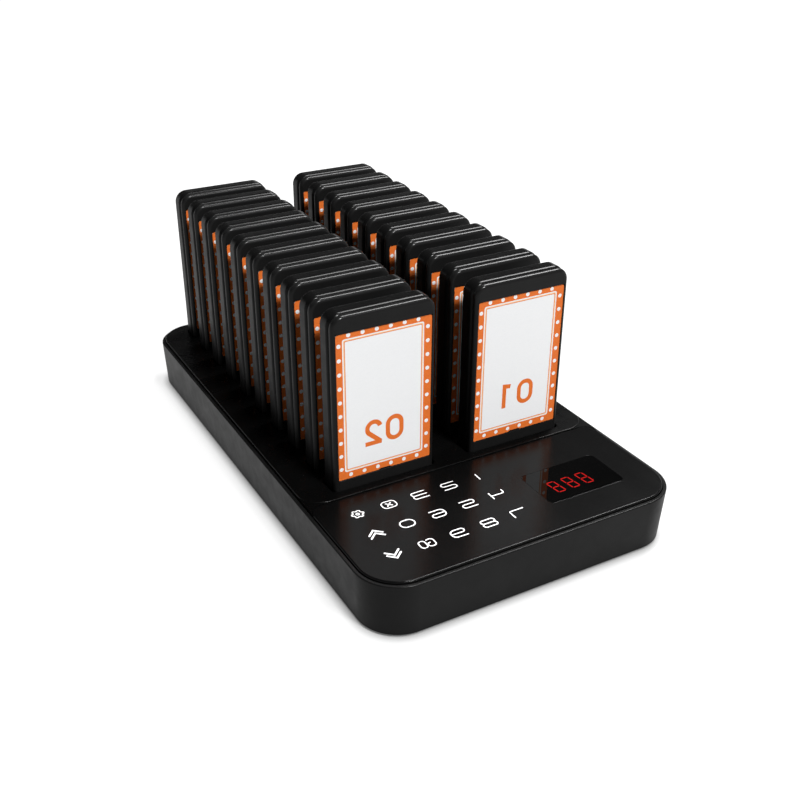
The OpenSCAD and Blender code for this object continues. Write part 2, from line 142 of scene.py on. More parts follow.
def moulded(name, dark, light, rough, grain_mm=0.35, grain_depth=0.006, ior=1.45,
            tint=(1.0, 1.0, 1.0), side_rough=None):
    """Moulded plastic: fine spark-eroded grain, faint cloudiness, handling marks in the gloss.

    With side_rough, walls that stand upright are duller than the handled top edges.
    """
    s = Shade(name)
    s.colour(s.noise(24, 4.0), tuple(dark * t for t in tint), tuple(light * t for t in tint))
    marks = s.spread(s.noise(7, 5.0, distortion=0.6), rough * 0.92, rough * 1.1)
    if side_rough:
        split = s.add("ShaderNodeSeparateXYZ")
        s.link(s.facing, split.inputs[0])
        dulled = s.spread(split.outputs["Z"], side_rough / rough, 1.0, 0.1, 0.55)
        marks = s.math("MULTIPLY", marks, dulled)
    s.link(marks, s.bsdf.inputs["Roughness"])
    s.bump(s.noise(grain_mm), grain_depth, 0.7)
    s.set(IOR=ior)
    return s.material


def printed(name, low, high, rough=0.42):
    """Ink or bare paper under a clear film: mottled by the paper's fibres."""
    s = Shade(name)
    s.colour(s.noise(0.9, 6.0, stretch=(1.0, 1.0, 2.5)), low, high, start=0.25, end=0.75)
    s.gloss(s.noise(14, 3.0), rough * 0.9, rough * 1.15)
    s.bump(s.noise(0.5, 3.0), 0.0015, 0.5)
    s.set(IOR=1.3)
    return s.material


def acrylic(name, dark, light, rough, ior):
    """Smoked panel: nearly even, with faint smears in its gloss."""
    s = Shade(name)
    s.colour(s.noise(40, 3.0), dark, light)
    s.gloss(s.noise(16, stretch=(1.0, 0.35, 1.0)), rough * 0.94, rough * 1.08)
    s.set(IOR=ior)
    return s.material


def metal(name, low, high, rough):
    """Drawn or turned metal with fine streaks."""
    s = Shade(name)
    s.colour(s.noise(1.5, 4.0, stretch=(1.0, 1.0, 6.0)), low, high)
    s.gloss(s.noise(0.6, 3.0), rough * 0.8, rough * 1.3)
    s.set(Metallic=1.0)
    return s.material


def circuit(name):
    """Solder-masked board: green with paler tracks running both ways."""
    s = Shade(name)
    tracks = s.add("ShaderNodeTexBrick")
    for socket, value in (
        ("Scale", 320.0), ("Mortar Size", 0.03), ("Color1", (0.012, 0.085, 0.035, 1)),
        ("Color2", (0.010, 0.070, 0.028, 1)), ("Mortar", (0.03, 0.16, 0.06, 1)),
    ):
        tracks.inputs[socket].default_value = value
    s.link(s.place, tracks.inputs["Vector"])
    s.link(tracks.outputs["Color"], s.bsdf.inputs["Base Color"])
    s.gloss(s.noise(2), 0.3, 0.42)
    return s.material


def foil(name):
    """The battery's wrinkled pouch."""
    s = Shade(name)
    s.colour(s.noise(5, 4.0), grey(0.42), grey(0.55))
    s.gloss(s.noise(3, 5.0), 0.28, 0.45)
    s.bump(s.noise(2.5, 4.0), 0.05, 0.4)
    s.set(Metallic=0.9)
    return s.material


def lit_segment(name):
    """A bar of the display, lit from behind."""
    s = Shade(name)
    s.colour(s.noise(1.6), (0.47, 0.006, 0.005), (0.58, 0.010, 0.008), "Emission Color")
    s.colour(s.noise(1.2), (0.05, 0.002, 0.002), (0.07, 0.004, 0.004))
    s.gloss(s.noise(1.0), 0.35, 0.5)
    s.set(Emission_Strength=1.0, IOR=1.03)
    return s.material


SHELL = moulded("pager_shell", 0.0030, 0.0040, 0.22, grain_depth=0.0025, ior=1.18, side_rough=0.42)
BEZEL = moulded("pager_bezel", 0.0072, 0.0086, 0.22, grain_depth=0.0025, ior=1.22, side_rough=0.44)
CASE = moulded("case", 0.0056, 0.0072, 0.26, grain_mm=0.5, grain_depth=0.004, ior=1.18,
               side_rough=0.44)
DECK = moulded("deck", 0.0014, 0.0020, 0.28, grain_mm=0.4, grain_depth=0.008, ior=1.22)
PANEL = acrylic("panel", grey(0.0022), grey(0.0030), 0.21, 1.205)
WINDOW = acrylic("window", grey(0.0010), grey(0.0015), 0.012, 1.24)
GLYPH = printed("glyph_ink", grey(0.84), grey(0.92), 0.5)
PAPER = printed("card_paper", (0.855, 0.862, 0.87), (0.89, 0.895, 0.90))
ORANGE = printed("card_orange", (0.70, 0.145, 0.022), (0.80, 0.19, 0.036))
PEACH = printed("card_peach", (0.90, 0.52, 0.26), (0.95, 0.60, 0.34))
EDGE = printed("card_edge", grey(0.55), grey(0.65))
SEGMENT = lit_segment("display_segment")
BLOCK = moulded("display_block", 0.006, 0.010, 0.5, tint=(1.4, 0.8, 0.8))
RUBBER = moulded("foot_rubber", 0.010, 0.018, 0.75, grain_mm=0.8, grain_depth=0.03)
SLEEVE = moulded("sleeve", 0.012, 0.02, 0.5)
STEEL = metal("steel", grey(0.42), grey(0.56), 0.3)
PLATED = metal("plated", (0.72, 0.50, 0.20), (0.82, 0.60, 0.27), 0.25)
BOARD = circuit("circuit_board")
FOIL = foil("battery_foil")


def dress(name, material):
    """Gives a CAD node its material."""
    mesh = NODES[name].data
    mesh.materials.clear()
    mesh.materials.append(material)


# ---------------------------------------------------------------- mesh helpers

def arc(cx, cy, r, a0, a1, steps):
    """Points on an arc, angles in degrees."""
    out = []
    for k in range(steps + 1):
        a = math.radians(a0 + (a1 - a0) * k / steps)
        out.append((cx + r * math.cos(a), cy + r * math.sin(a)))
    return out


def disc(cx, cy, r):
    """A full circle as 24 points."""
    return arc(cx, cy, r, 0, 345, 23)


def rounded(x0, x1, y0, y1, radii, steps=8):
    """Rounded rectangle, anticlockwise. radii: (x1,y1), (x0,y1), (x0,y0), (x1,y0)."""
    if not hasattr(radii, "__len__"):
        radii = (radii,) * 4
    a, b, c, d = radii
    return (
        arc(x1 - a, y1 - a, a, 0, 90, steps)
        + arc(x0 + b, y1 - b, b, 90, 180, steps)
        + arc(x0 + c, y0 + c, c, 180, 270, steps)
        + arc(x1 - d, y0 + d, d, 270, 360, steps)
    )


def rows(points, z=0):
    """2-D points laid flat at one height, as (x, y, z)."""
    return [(x, y, z) for x, y in points]


def upright(points, y):
    """2-D points stood up at one depth, as (x, y, z)."""
    return [(x, y, z) for x, z in points]


def eased(r, steps=4):
    """(inset, drop) pairs of a small quarter round, from the top's inner edge to the side."""
    angles = [math.radians(90 * k / steps) for k in range(steps + 1)]
    return [(r * (1 - math.sin(a)), r * (1 - math.cos(a))) for a in angles]


def eased_top(outline, top, r, steps=4):
    """(outline, z) pairs that round a top edge, from the side up; outline takes an inset."""
    return [(outline(inset), top - drop) for inset, drop in eased(r, steps)[::-1]]


def weigh(obj):
    """Lets flat faces keep their own normal, so that only the fillets bend the light."""
    modifier = obj.modifiers.new("weigh", "WEIGHTED_NORMAL")
    modifier.mode = "FACE_AREA"
    modifier.weight = 100
    modifier.keep_sharp = True


def placed(name, data):
    """A new object in the scene."""
    obj = bpy.data.objects.new(name, data)
    bpy.context.scene.collection.objects.link(obj)
    return obj


def new_object(name, mesh, material, body, smooth=True):
    """A visible piece that rides on a body."""
    obj = placed(name, mesh)
    if material is not None and not mesh.materials:
        mesh.materials.append(material)
    if smooth:
        mesh.shade_smooth()
        mesh.set_sharp_from_angle(angle=math.radians(34))
        weigh(obj)
    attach(obj, body)
    return obj


def mesh_of(name, vertices, faces):
    """A mesh from vertices in millimetres."""
    mesh = bpy.data.meshes.new(name)
    mesh.from_pydata([tuple(c * MM for c in v) for v in vertices], [], faces)
    mesh.validate()
    return mesh


def made_from(work, name):
    """A mesh from a bmesh, which is freed."""
    mesh = bpy.data.meshes.new(name)
    work.to_mesh(mesh)
    work.free()
    return mesh


def stack(name, loops):
    """Closed skin through loops of equal length, each a list of 3-D points in millimetres."""
    count = len(loops[0])
    vertices = [p for loop in loops for p in loop]
    faces = []
    for i in range(len(loops) - 1):
        a, b = i * count, (i + 1) * count
        for k in range(count):
            n = (k + 1) % count
            faces.append((a + k, a + n, b + n, b + k))
    last = (len(loops) - 1) * count
    faces.append(tuple(range(count))[::-1])
    faces.append(tuple(range(last, last + count)))
    mesh = mesh_of(name, vertices, faces)
    work = bmesh.new()
    work.from_mesh(mesh)
    bmesh.ops.remove_doubles(work, verts=work.verts, dist=1e-7)
    bmesh.ops.recalc_face_normals(work, faces=work.faces)
    work.to_mesh(mesh)
    work.free()
    return mesh


def lathe(name, profile, steps=28, axis="Y"):
    """A turned solid from (radius, height) pairs, closed at both ends."""
    loops = []
    for r, h in profile:
        ring = []
        for k in range(steps):
            a = 2 * math.pi * k / steps
            x, z = r * math.cos(a), r * math.sin(a)
            ring.append((x, h, z) if axis == "Y" else (x, z, h))
        loops.append(ring)
    return stack(name, loops)


def combine(mesh, tool, operation):
    """mesh after an exact boolean with a tool mesh."""
    base, other = placed("work_base", mesh), placed("work_tool", tool)
    modifier = base.modifiers.new("cut", "BOOLEAN")
    modifier.operation = operation
    modifier.solver = "EXACT"
    modifier.object = other
    bpy.context.view_layer.update()
    graph = bpy.context.evaluated_depsgraph_get()
    result = bpy.data.meshes.new_from_object(base.evaluated_get(graph))
    result.name = mesh.name
    for obj in (base, other):
        bpy.data.objects.remove(obj)
    return result


def joined(name, parts):
    """One mesh of several, each moved to its (x, y, z) in millimetres."""
    work = bmesh.new()
    for mesh, at in parts:
        copy = mesh.copy()
        copy.transform(Matrix.Translation(Vector(at) * MM))
        work.from_mesh(copy)
        bpy.data.meshes.remove(copy)
    return made_from(work, name)


def prism(name, outlines):
    """Closed solid through (outline, z) pairs that have as many points each."""
    return stack(name, [rows(outline, z) for outline, z in outlines])


def ribbon(points, width, closed=False, round_ends=True):
    """Quads of a flat stroke along 2-D points, with round or cut ends."""
    half = width / 2
    n = len(points)
    left, right = [], []
    for i, (x, y) in enumerate(points):
        before = points[i - 1] if closed or i > 0 else None
        after = points[(i + 1) % n] if closed or i < n - 1 else None
        tangents = []
        for a, b in ((before, (x, y)), ((x, y), after)):
            if a is None or b is None:
                continue
            length = math.hypot(b[0] - a[0], b[1] - a[1])
            if length > 1e-9:
                tangents.append(((b[0] - a[0]) / length, (b[1] - a[1]) / length))
        tx = sum(t[0] for t in tangents)
        ty = sum(t[1] for t in tangents)
        length = math.hypot(tx, ty)
        tx, ty = tx / length, ty / length
        mitre = 1.0 / max(0.45, tx * tangents[0][0] + ty * tangents[0][1])
        left.append((x - ty * half * mitre, y + tx * half * mitre))
        right.append((x + ty * half * mitre, y - tx * half * mitre))
    shapes = []
    for i in range(n if closed else n - 1):
        j = (i + 1) % n
        shapes.append([right[i], right[j], left[j], left[i]])
    if round_ends and not closed:
        for i in (0, n - 1):
            shapes.append(disc(*points[i], half))
    return shapes


def partition(shapes):
    """Splits overlapping 2-D polygons into triangles, each with the shapes that cover it."""
    vertices, faces = [], []
    for shape in shapes:
        start = len(vertices)
        vertices += [Vector(p) for p in shape]
        faces.append(list(range(start, start + len(shape))))
    points, _, triangles, _, _, cover = delaunay_2d_cdt(vertices, [], faces, 1, 1e-5)
    return points, [(t, set(c)) for t, c in zip(triangles, cover) if c]


# ---------------------------------------------------------------- sizes, in millimetres

PAGER_W, PAGER_H, PAGER_T, PAGER_R = 52.8, 105.0, 11.0, 6.3
BEZEL_INSET, BEZEL_T, BEZEL_FILLET, BEZEL_EDGE = 0.4, 2.65, 1.9, 0.2
SHELL_Y, SHELL_WALL, SHELL_FILLET, SHELL_BACK_FILLET = 3.0, 2.0, 2.4, 0.9
BACK_Y, LIP_Y, LIP_ROOT = 9.2, 1.75, 4.5
CARD_W, CARD_H, CARD_LOW, CARD_T, CARD_Y = 48.0, 73.3, 23.2, 0.35, 0.4
CARD_TOP = CARD_LOW + CARD_H
CORNERS = 10


def pager_loop(inset, y):
    """The pager's outline, set in and at one depth; x across, z up."""
    half = PAGER_W / 2 - inset
    r = max(PAGER_R - inset, 0.6)
    return upright(rounded(-half, half, inset, PAGER_H - inset, r, CORNERS), y)


def card_loop(grow, y):
    """The outline of the card's pocket, larger than the card by grow, at one depth."""
    half = CARD_W / 2 + grow
    return upright(rounded(-half, half, CARD_LOW - grow, CARD_TOP + grow, 0.5, CORNERS), y)


def ordered_bezel():
    """Bezel loops from the card's pocket round the front and the side to the pocket behind."""
    loops = [card_loop(0.1, CARD_Y + CARD_T), card_loop(0.1, 0.12), card_loop(0.22, 0.0)]
    loops += [pager_loop(BEZEL_INSET + inset, drop) for inset, drop in eased(BEZEL_FILLET, 10)]
    loops += [pager_loop(BEZEL_INSET + drop, BEZEL_T - inset)
              for inset, drop in eased(BEZEL_EDGE, 3)]
    inner = BEZEL_INSET + 0.95
    return loops + [pager_loop(inner, BEZEL_T), pager_loop(inner, 1.7)]


def ordered_shell():
    """Shell loops from inside its back, over the lip, round its side to its back."""
    lip = BEZEL_INSET + 1.0
    loops = [pager_loop(inset, y) for inset, y in (
        (SHELL_WALL, BACK_Y), (SHELL_WALL, LIP_ROOT), (lip + 1.0, LIP_ROOT), (lip + 1.0, LIP_Y),
        (lip, LIP_Y),
    )]
    r = SHELL_FILLET
    first = math.asin(1 - lip / r)
    for k in range(11):
        a = first + (math.pi / 2 - first) * k / 10
        loops.append(pager_loop(r * (1 - math.sin(a)), SHELL_Y + r * (1 - math.cos(a))))
    back = eased(SHELL_BACK_FILLET, 5)
    return loops + [pager_loop(drop, PAGER_T - inset) for inset, drop in back]


POSTS = [(x, z) for x in (-20.5, 20.5) for z in (6.5, 98.7)]
POST_Y, SCREW_HEAD_Y = 3.2, 8.4
CONTACT_X, CONTACT_Y = 9.0, 6.4


def shell_form():
    """The rear shell with its screw posts, their bores and the two windows of the contacts."""
    mesh = stack("pager_shell_form", ordered_shell())
    post = lathe("post", [(2.5, 0), (2.5, 6.3)])
    bore = lathe("bore", [(2.05, 0), (2.05, 2.45), (2.2, 2.61), (2.2, 3.2)])
    window = prism("window_tool", [(rounded(-3.7, 3.7, -1.5, 1.5, 0.4, 3), z) for z in (-1.0, 3.0)])
    mesh = combine(mesh, joined("posts", [(post, at) for at in upright(POSTS, POST_Y)]), "UNION")
    tools = [(bore, at) for at in upright(POSTS, SCREW_HEAD_Y)]
    tools += [(window, (side * CONTACT_X, CONTACT_Y, 0)) for side in (-1, 1)]
    return combine(mesh, joined("bores", tools), "DIFFERENCE")


def screw_form():
    """Four pan-head screws with cross recesses, joined."""
    head = lathe("head", [(1.95, 0), (1.95, 0.9), (1.75, 1.3), (1.2, 1.5), (0.0001, 1.52)], 24)
    for w, d in ((1.9, 0.42), (0.42, 1.9)):
        arm = rounded(-w / 2, w / 2, -d / 2, d / 2, 0.05, 2)
        head = combine(head, stack("slot", [upright(arm, y) for y in (0.75, 2.0)]), "DIFFERENCE")
    work = bmesh.new()
    for x, z in POSTS:
        part = head.copy()
        # each head has been driven home to an angle of its own
        part.transform(Matrix.Rotation(0.35 * x + 0.2 * z, 4, "Y"))
        part.transform(Matrix.Translation(Vector((x, SCREW_HEAD_Y, z)) * MM))
        work.from_mesh(part)
    return made_from(work, "pager_screw_heads")


shell_mesh = shell_form()
bezel_mesh = stack("pager_bezel_form", ordered_bezel())
screws_mesh = screw_form()

# ---------------------------------------------------------------- number cards

# Strokes of the digits 0 to 9 in a cell 7.1 wide and 11 high about its middle, as (points,
# closed). They are drawn as they read; the cards carry them mirrored.
OPEN, CLOSED = False, True
W2, H2 = 3.55, 5.5
DIGITS = [
    [(rounded(-W2, W2, -H2, H2, W2 * 0.98, 9), CLOSED)],
    [([(-2.2, H2 - 0.75), (1.25, H2 - 0.15), (1.25, -H2 - 1.1)], OPEN)],
    [(arc(-0.1, 2.15, 3.35, 168, -38, 16) + [(-3.4, -H2 + 0.2)], OPEN),
     ([(-4.25, -H2), (4.3, -H2)], OPEN)],
    [(arc(0, 2.75, 2.75, 160, -90, 14), OPEN), (arc(0, -2.6, 2.9, 90, -160, 14), OPEN)],
    [([(1.5, -H2 - 1.1), (1.5, H2), (-3.7, -2.4), (4.1, -2.4)], OPEN)],
    [([(3.1, H2), (-2.6, H2), (-2.9, 0.6)], OPEN), (arc(-0.1, -2.0, 3.5, 128, -155, 16), OPEN)],
    [(rounded(-3.4, 3.4, -H2, 1.2, 3.2, 8), CLOSED),
     ([(-3.4, -2.2), (-2.9, 1.5), (-1.2, 4.2), (1.7, H2 + 0.6)], OPEN)],
    [([(-3.5, H2), (3.4, H2), (-0.6, -H2 - 1.1)], OPEN)],
    [(rounded(-2.9, 2.9, 0.2, H2, 2.6, 8), CLOSED), (rounded(-3.4, 3.4, -H2, 0.2, 2.8, 8), CLOSED)],
    [(rounded(-3.4, 3.4, -1.2, H2, 3.2, 8), CLOSED),
     ([(3.4, 2.2), (2.9, -1.5), (1.2, -4.2), (-1.7, -H2 - 0.6)], OPEN)],
]
DIGIT_X, DIGIT_Z, DIGIT_WIDTH = (5.35 - 0.3, -5.6 - 0.3), 44.0, 2.25

FRAME_LEFT, FRAME_RIGHT = -20.83, 20.0
FRAME_LOW, FRAME_HIGH = CARD_LOW + 3.75, CARD_TOP - 2.7
# Nested frames from the outside in: role, how far it is set in, corner radius.
FRAMES = (
    ("white_line", 0.0, 1.0), ("peach", 0.55, 0.8), ("thin_line", 1.0, 0.6), ("field", 1.32, 0.5),
)
DOT_R, DOT_PITCH_X, DOT_PITCH_Z = 1.0, 6.95, 6.9
DOTS_X, DOTS_Z = -0.375, 59.9

# Slots of a card's materials, and which one shows: the first role that covers a spot wins.
CARD_MATERIALS = (PAPER, ORANGE, PEACH, EDGE)
WHITE_SLOT, ORANGE_SLOT, PEACH_SLOT, EDGE_SLOT = range(4)
INKS = (
    ("digit", ORANGE_SLOT), ("field", WHITE_SLOT), ("thin_line", ORANGE_SLOT),
    ("peach", PEACH_SLOT), ("white_line", WHITE_SLOT), ("dot", WHITE_SLOT), ("sheet", ORANGE_SLOT),
)


def card_outline():
    """The card's sheet, with a shallow thumb notch in the middle of its lower edge."""
    half = CARD_W / 2
    sheet = rounded(-half, half, CARD_LOW, CARD_TOP, (1.3, 1.6, 0.5, 0.5), 6)
    notch = [(-3.6, CARD_LOW), (-2.4, CARD_LOW + 0.55), (2.4, CARD_LOW + 0.55), (3.6, CARD_LOW)]
    at = next(i for i, (x, z) in enumerate(sheet) if z <= CARD_LOW + 1e-6 and x < 0)
    return sheet[:at + 1] + notch + sheet[at + 1:]


def card_areas(number):
    """(role, outline) pairs of a card's printed face: sheet, frames, dots and two digits."""
    areas = [("sheet", card_outline())]
    for role, inset, r in FRAMES:
        areas.append((role, rounded(FRAME_LEFT + inset, FRAME_RIGHT - inset,
                                    FRAME_LOW + inset, FRAME_HIGH - inset, r, 4)))
    dots = [(DOTS_X + (k - 2.5) * DOT_PITCH_X, z)
            for k in range(6) for z in (CARD_LOW + 1.95, CARD_TOP - 1.1)]
    dots += [(x, DOTS_Z + (k - 4.5) * DOT_PITCH_Z) for k in range(10) for x in (-22.5, 21.95)]
    areas += [("dot", disc(x, z, DOT_R)) for x, z in dots]
    for centre, digit in zip(DIGIT_X, divmod(number, 10)):
        for points, closed in DIGITS[digit]:
            path = [(centre - x, DIGIT_Z + z) for x, z in points]
            quads = ribbon(path, DIGIT_WIDTH, closed, round_ends=False)
            areas += [("digit", quad) for quad in quads]
    return areas


def open_edges(work):
    """The edges round a bmesh's rim."""
    return [e for e in work.edges if len(e.link_faces) == 1]


def card_mesh(number):
    """One number card: its face split into areas of ink and paper, then its edges and back."""
    roles, shapes = zip(*card_areas(number))
    points, triangles = partition(shapes)
    work = bmesh.new()
    made = [work.verts.new(Vector((p.x, CARD_Y, p.y)) * MM) for p in points]
    for triangle, cover in triangles:
        have = {roles[c] for c in cover}
        if "sheet" in have:
            face = work.faces.new([made[i] for i in triangle])
            face.material_index = next(slot for role, slot in INKS if role in have)
    for g in bmesh.ops.extrude_edge_only(work, edges=open_edges(work))["geom"]:
        if isinstance(g, bmesh.types.BMVert):
            g.co.y = (CARD_Y + CARD_T) * MM
        elif isinstance(g, bmesh.types.BMFace):
            g.material_index = EDGE_SLOT
    for face in bmesh.ops.contextual_create(work, geom=open_edges(work))["faces"]:
        face.material_index = EDGE_SLOT
    bmesh.ops.remove_doubles(work, verts=work.verts, dist=1e-8)
    bmesh.ops.recalc_face_normals(work, faces=work.faces)
    mesh = made_from(work, f"number_card_{number:02d}")
    for material in CARD_MATERIALS:
        mesh.materials.append(material)
    return mesh


# ---------------------------------------------------------------- pagers

COLUMN_X, FIRST_Y, ROW, PAGER_Z = 36.4, -68.85, 21.2, 10.7


def pager_place(i):
    """Where pager i stands at rest: odd numbers on the right, from the front to the rear."""
    side = 1 if i % 2 else -1
    return Vector((side * COLUMN_X, FIRST_Y + ROW * ((i - 1) // 2), PAGER_Z)) * MM


for i in range(1, 21):
    name = f"pager_{i:02d}"
    parts = [
        (f"{name}_shell_form", shell_mesh, SHELL, "pager_shell_plastic"),
        (f"{name}_bezel_form", bezel_mesh, BEZEL, "pager_bezel_plastic"),
        (f"{name}_number_card", card_mesh(i), None, "printed_card"),
    ]
    if i > 1:
        parts.append((f"{name}_screw_heads", screws_mesh, STEEL, "screw_steel"))
    for label, mesh, material, slot in parts:
        piece = new_object(label, mesh, material, name, smooth="card" not in label)
        piece.location = pager_place(i)
        if "card" in label:
            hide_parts(f"{name}_card")
        elif "shell" in label:
            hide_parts("pager_01_rear_shell" if i == 1 else f"{name}_case")
        elif "bezel" in label:
            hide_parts("pager_01_bezel" if i == 1 else f"{name}_case")

# ---------------------------------------------------------------- base

CASE_W, CASE_R, DRAFT, WALL_H = 162.5, 20.9, 1.5, 26.3
FRONT, REAR = -143.95, 143.95
CASE_Z, FLOOR_Z, RIM_Z = 1.0, 3.2, 27.3
WALL, LEDGE = 1.8, 2.1
SEAT_Z, PANEL_LOW, PANEL_Z, DECK_Z = 24.9, 26.4, 28.4, 28.9
SLOT_FLOOR, WELL_WALL = 10.4, 1.4
DECK_FRONT, DECK_R, DECK_X = -74.25, 18.8, 79.15
SLOT_W, SLOT_D, SLOT_R = 54.8, 12.6, 2.6
SCREWS = [(s * 72.25, y) for s in (-1, 1) for y in (-128.95, -48.15, 57.85, 128.45)]
FEET = [(s * 59.25, t * 123.95) for s in (-1, 1) for t in (-1, 1)]
BOSS_TOP, INLET_Z = 16, 14.6
KEYPAD_HOLE = (-65.4, 6.0, -126.65, -84.85)  # left, right, front and rear edge


def case_loop(z, inset):
    """The leaning case's outline at one height, set in, with that height."""
    lean = DRAFT * (RIM_Z - z) / WALL_H
    side = CASE_W / 2 - inset - lean
    r = CASE_R - inset - lean
    return rounded(-side, side, FRONT + inset + lean, REAR - inset, r, 16), z


def case_form():
    """The lower shell: wall, floor, screw bosses, inlet stand, foot pockets and inlet mouth."""
    loops = [case_loop(FLOOR_Z, WALL), case_loop(RIM_Z - 0.25, WALL),
             case_loop(RIM_Z - 0.07, WALL - 0.07), case_loop(RIM_Z, WALL - 0.25)]
    loops += [case_loop(RIM_Z - drop, inset) for inset, drop in eased(0.6, 5)]
    loops += [case_loop(CASE_Z + drop, inset) for inset, drop in eased(0.5)[::-1]]
    mesh = prism("lower_case_form", loops)
    boss = lathe("boss", [(4.5, FLOOR_Z - 0.5), (4.5, BOSS_TOP)], 32, "Z")
    wall = REAR - WALL
    block = rounded(-5.5, 5.5, wall - 13, wall + 0.5, 0.3, 2)
    stand = prism("stand", [(block, 2.5), (block, 9.4)])
    added = [(boss, at) for at in rows(SCREWS)] + [(stand, (0, 0, 0))]
    mesh = combine(mesh, joined("bosses", added), "UNION")
    steps = [(3.7, 0.4), (3.7, 0.95), (3.2, 1.45), (3.2, 13.6), (1.7, 13.6), (1.7, 17)]
    recess = lathe("recess", steps, 32, "Z")
    pocket = lathe("pocket", [(7.1, 0.4), (7.1, 2.0)], 48, "Z")
    mouth = lathe("mouth", [(4.3, REAR - 4), (4.3, REAR - 0.3), (4.7, REAR + 0.1), (4.7, REAR + 1)],
                  40)
    tools = [(recess, at) for at in rows(SCREWS)] + [(pocket, at) for at in rows(FEET)]
    return combine(mesh, joined("recesses", tools + [(mouth, (0, 0, INLET_Z))]), "DIFFERENCE")


def raised_outline(inset):
    """The raised deck: rounded like the plate behind, more tightly at its front."""
    side = DECK_X - inset
    return rounded(-side, side, DECK_FRONT + inset, REAR - LEDGE - inset,
                   (DECK_R - inset, DECK_R - inset, 12 - inset, 12 - inset), 14)


def slot_outline(grow):
    """A pager's slot about its own middle, larger by grow."""
    half_w, half_d = SLOT_W / 2 + grow, SLOT_D / 2 + grow
    return rounded(-half_w, half_w, -half_d, half_d, SLOT_R + grow, 6)


def deck_form():
    """The upper shell: plate, raised deck, twenty slot wells, bosses and the front openings."""
    plate = rounded(-DECK_X, DECK_X, FRONT + LEDGE, REAR - LEDGE, DECK_R, 14)
    mesh = prism("top_deck_form", [(plate, SEAT_Z), (plate, PANEL_LOW)])
    slab = [(raised_outline(0), PANEL_LOW - 0.5)] + eased_top(raised_outline, DECK_Z, 0.4)
    mesh = combine(mesh, prism("raised", slab), "UNION")
    for s in (-1, 1):
        # fills the corner between the panel's rounded end and the raised deck
        outline = arc(-73.05, -80.35, 6.1, 180, 90, 8)
        outline += [(-67.0, DECK_FRONT), (-60, -66), (-60, -50), (-DECK_X, -50)]
        outline = [(s * x, y) for x, y in outline]
        corner = prism("corner", [(outline, PANEL_LOW - 0.5), (outline, PANEL_Z)])
        mesh = combine(mesh, corner, "UNION")
    outer = slot_outline(WELL_WALL)
    well = prism("well", [(outer, SLOT_FLOOR - WELL_WALL), (outer, SEAT_Z + 0.5)])
    hollow = prism("hollow", [(slot_outline(grow), z) for grow, z in (
        (0, SLOT_FLOOR), (0, DECK_Z - 0.3), (0.09, DECK_Z - 0.09), (0.3, DECK_Z),
        (1.2, DECK_Z + 0.9),
    )])
    opening = rounded(-1.5, 1.5, -1.5, 1.5, 0.05, 2)
    pin = prism("pin", [(opening, SLOT_FLOOR - 3), (opening, SLOT_FLOOR + 1)])
    boss = lathe("deck_boss", [(3.5, BOSS_TOP), (3.5, SEAT_Z + 0.5)], 28, "Z")
    slots = [(s * COLUMN_X, FIRST_Y - 0.5 + SLOT_D / 2 + ROW * row)
             for s in (-1, 1) for row in range(10)]
    added = [(well, at) for at in rows(slots)] + [(boss, at) for at in rows(SCREWS)]
    mesh = combine(mesh, joined("wells", added), "UNION")
    mesh = combine(mesh, joined("hollows", [(hollow, at) for at in rows(slots)]), "DIFFERENCE")
    low, high = (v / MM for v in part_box("led_display"))
    holes = [(pin, (x + side * CONTACT_X, y + 0.6, 0)) for x, y in slots for side in (-1, 1)]
    for edges in (KEYPAD_HOLE, (low.x - 0.2, high.x + 0.2, low.y - 0.2, high.y + 0.2)):
        hole = prism("hole", [(rounded(*edges, 0.1, 2), z) for z in (SEAT_Z - 1, PANEL_LOW + 1)])
        holes.append((hole, (0, 0, 0)))
    return combine(mesh, joined("holes", holes), "DIFFERENCE")


WINDOW_LOW, WINDOW_HIGH = (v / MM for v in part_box("display_window"))


def window_outline(grow):
    """The display window, larger by grow."""
    return rounded(WINDOW_LOW.x - grow, WINDOW_HIGH.x + grow,
                   WINDOW_LOW.y - grow, WINDOW_HIGH.y + grow, 2.9 + grow, 10)


def panel_outline(inset):
    """The keypad panel: rounded like the case in front, more tightly at the deck."""
    side = DECK_X - inset
    return rounded(-side, side, FRONT + LEDGE + inset, DECK_FRONT - 0.1 - inset,
                   (6 - inset, 6 - inset, DECK_R - inset, DECK_R - inset), 16)


def panel_form():
    """The keypad panel with its eased top edge and the window's hole."""
    rim = eased_top(panel_outline, PANEL_Z, 0.75, 6)
    mesh = prism("keypad_panel_form", [(panel_outline(0), PANEL_LOW)] + rim)
    hole = prism("window_hole", [(window_outline(grow), z) for grow, z in (
        (0.1, PANEL_LOW - 1), (0.1, PANEL_Z - 0.03), (0.13, PANEL_Z), (1.1, PANEL_Z + 1),
    )])
    return combine(mesh, hole, "DIFFERENCE")


def window_form():
    """The display window with its eased top edge."""
    rim = eased_top(lambda inset: window_outline(-inset), WINDOW_HIGH.z, 0.08, 2)
    return prism("display_window_form", [(window_outline(0), PANEL_LOW)] + rim)


for name, mesh, material, slot in (
    ("lower_case", case_form(), CASE, "case_plastic"),
    ("top_deck", deck_form(), DECK, "deck_plastic"),
    ("keypad_panel", panel_form(), PANEL, "panel_acrylic"),
    ("display_window", window_form(), WINDOW, "window_acrylic"),
):
    piece = new_object(f"{name}_form", mesh, material, "base")
    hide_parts(name)


